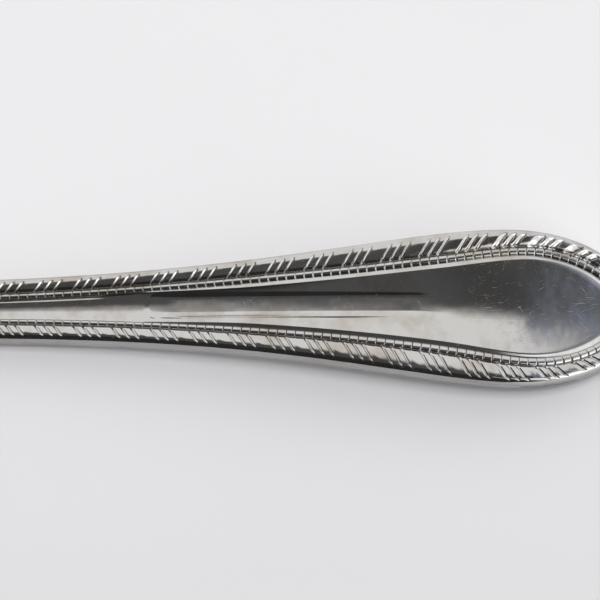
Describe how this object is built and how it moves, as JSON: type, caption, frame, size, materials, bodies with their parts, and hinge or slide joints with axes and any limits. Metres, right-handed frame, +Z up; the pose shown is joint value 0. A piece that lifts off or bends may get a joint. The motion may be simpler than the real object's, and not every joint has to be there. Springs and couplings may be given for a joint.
{
  "type": "butter knife",
  "caption": "Hollow-handle butter knife with a rounded blunt blade, a bolster and a flared, arched handle edged with a rope moulding and a bead course.",
  "frame": {"origin": "bottom centre of the whole knife's box, on the table that it lies on", "axes": "+X along the knife towards the end of the handle, +Y across it towards the back of the blade, +Z up, out of the handle's back"},
  "size_m": [0.175, 0.019, 0.0082],
  "materials": {
    "blade_steel": "polished, with fine use scratches",
    "handle_steel": "mirror polished, with fine use scratches",
    "braze": "silver braze, filed flush",
    "cement": "matt, cast"
  },
  "bodies": {
    "root": {"blade": "blade_steel", "back_shell": "handle_steel", "front_shell": "handle_steel", "seam_braze": "braze", "bolster_braze": "braze", "cement_core": "cement"}
  },
  "joints": []
}
